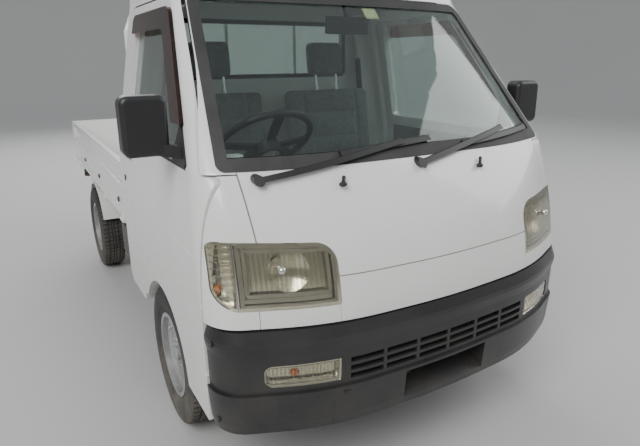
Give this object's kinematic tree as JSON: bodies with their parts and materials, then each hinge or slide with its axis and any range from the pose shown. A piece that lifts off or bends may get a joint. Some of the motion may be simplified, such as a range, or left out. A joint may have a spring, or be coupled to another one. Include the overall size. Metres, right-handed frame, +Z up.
{
  "type": "small cab-over truck",
  "caption": "Small cab-over pickup truck with opening doors, drop-down bed sides and tailgate, turning wheels and working steering.",
  "frame": {"origin": "on the ground under the middle of the truck's bounding box", "axes": "+Z up, nose towards -Y, tail towards +Y, the driver's side (right) towards -X"},
  "size_m": [1.744, 3.3965, 1.78],
  "materials": {
    "body_white": "gloss",
    "satin_black": "satin",
    "seal_rubber": "matte",
    "window_glass": "clear",
    "smoked_visor": "gloss",
    "lamp_lens": "gloss",
    "lamp_reflector": "gloss",
    "tail_lens": "gloss",
    "cabin_grey": "matte",
    "seat_cloth": "matte",
    "frame_black": "satin",
    "engine_metal": "matte",
    "wheel_steel": "satin",
    "tyre_rubber": "matte"
  },
  "bodies": {
    "body": {"battery_box": "satin_black", "bed_floor": "body_white", "cab_back": "body_white", "cab_controls": "satin_black", "cab_floor": "frame_black", "cab_glass": "window_glass", "cab_sides": "body_white", "dashboard": "cabin_grey", "engine": "engine_metal", "exhaust": "engine_metal", "front_bumper": "satin_black", "front_corners": "body_white", "front_lamps": "lamp_lens", "front_lid": "body_white", "front_suspension": "frame_black", "front_wall": "frame_black", "fuel_tank": "frame_black", "glass_seals": "seal_rubber", "headboard": "body_white", "ladder_frame": "frame_black", "lamp_bowls": "lamp_reflector", "leaf_springs": "frame_black", "nose_strip": "body_white", "rear_axle": "frame_black", "rear_mudguards": "satin_black", "roof": "body_white", "seats": "seat_cloth", "tail_lamps": "tail_lens", "wipers": "satin_black"},
    "door_right": {"door_right": "body_white", "door_glass_right": "window_glass", "door_visor_right": "smoked_visor", "mirror_right": "satin_black"},
    "door_left": {"door_left": "body_white", "door_glass_left": "window_glass", "door_visor_left": "smoked_visor", "mirror_left": "satin_black"},
    "side_gate_right": {"side_gate_right": "body_white"},
    "side_gate_left": {"side_gate_left": "body_white"},
    "tailgate": {"tailgate": "body_white"},
    "steering_wheel": {"steering_wheel": "satin_black"},
    "knuckle_right": {"knuckle_right": "frame_black"},
    "knuckle_left": {"knuckle_left": "frame_black"},
    "wheel_fr": {"rim_fr": "wheel_steel", "tyre_fr": "tyre_rubber"},
    "wheel_fl": {"rim_fl": "wheel_steel", "tyre_fl": "tyre_rubber"},
    "wheel_rr": {"rim_rr": "wheel_steel", "tyre_rr": "tyre_rubber"},
    "wheel_rl": {"rim_rl": "wheel_steel", "tyre_rl": "tyre_rubber"}
  },
  "joints": [
    {"name": "door_right_hinge", "type": "hinge", "parent": "body", "child": "door_right", "pos_m": [-0.7334, -1.447, 0.58], "axis": [0, 0, 1], "range_deg": [0, 65]},
    {"name": "door_left_hinge", "type": "hinge", "parent": "body", "child": "door_left", "pos_m": [0.7334, -1.447, 0.58], "axis": [0, 0, -1], "range_deg": [0, 65]},
    {"name": "side_gate_right_hinge", "type": "hinge", "parent": "body", "child": "side_gate_right", "pos_m": [-0.7295, 0.583, 0.628], "axis": [0, -1, 0], "range_deg": [0, 170]},
    {"name": "side_gate_left_hinge", "type": "hinge", "parent": "body", "child": "side_gate_left", "pos_m": [0.7295, 0.583, 0.628], "axis": [0, 1, 0], "range_deg": [0, 170]},
    {"name": "tailgate_hinge", "type": "hinge", "parent": "body", "child": "tailgate", "pos_m": [0, 1.6895, 0.628], "axis": [-1, 0, 0], "range_deg": [0, 170]},
    {"name": "steering", "type": "hinge", "parent": "body", "child": "steering_wheel", "pos_m": [-0.345, -1.062, 1.092], "axis": [0, 0.6428, 0.766], "range_deg": [-540, 540]},
    {"name": "steer_right", "type": "hinge", "parent": "body", "child": "knuckle_right", "pos_m": [-0.57552, -0.9375, 0.2705], "axis": [0.2588, 0, 0.9659], "range_deg": [-35, 35]},
    {"name": "steer_left", "type": "hinge", "parent": "body", "child": "knuckle_left", "pos_m": [0.57552, -0.9375, 0.2705], "axis": [-0.2588, 0, 0.9659], "range_deg": [-35, 35]},
    {"name": "spin_fr", "type": "hinge", "parent": "knuckle_right", "child": "wheel_fr", "pos_m": [-0.655, -0.9375, 0.2705], "axis": [1, 0, 0], "continuous": true},
    {"name": "spin_fl", "type": "hinge", "parent": "knuckle_left", "child": "wheel_fl", "pos_m": [0.655, -0.9375, 0.2705], "axis": [1, 0, 0], "continuous": true},
    {"name": "spin_rr", "type": "hinge", "parent": "body", "child": "wheel_rr", "pos_m": [-0.655, 0.9625, 0.2705], "axis": [1, 0, 0], "continuous": true},
    {"name": "spin_rl", "type": "hinge", "parent": "body", "child": "wheel_rl", "pos_m": [0.655, 0.9625, 0.2705], "axis": [1, 0, 0], "continuous": true}
  ],
  "couplings": [
    {"joint": "steer_right", "follows": "steering", "ratio": 0.0648},
    {"joint": "steer_left", "follows": "steering", "ratio": 0.0648}
  ]
}
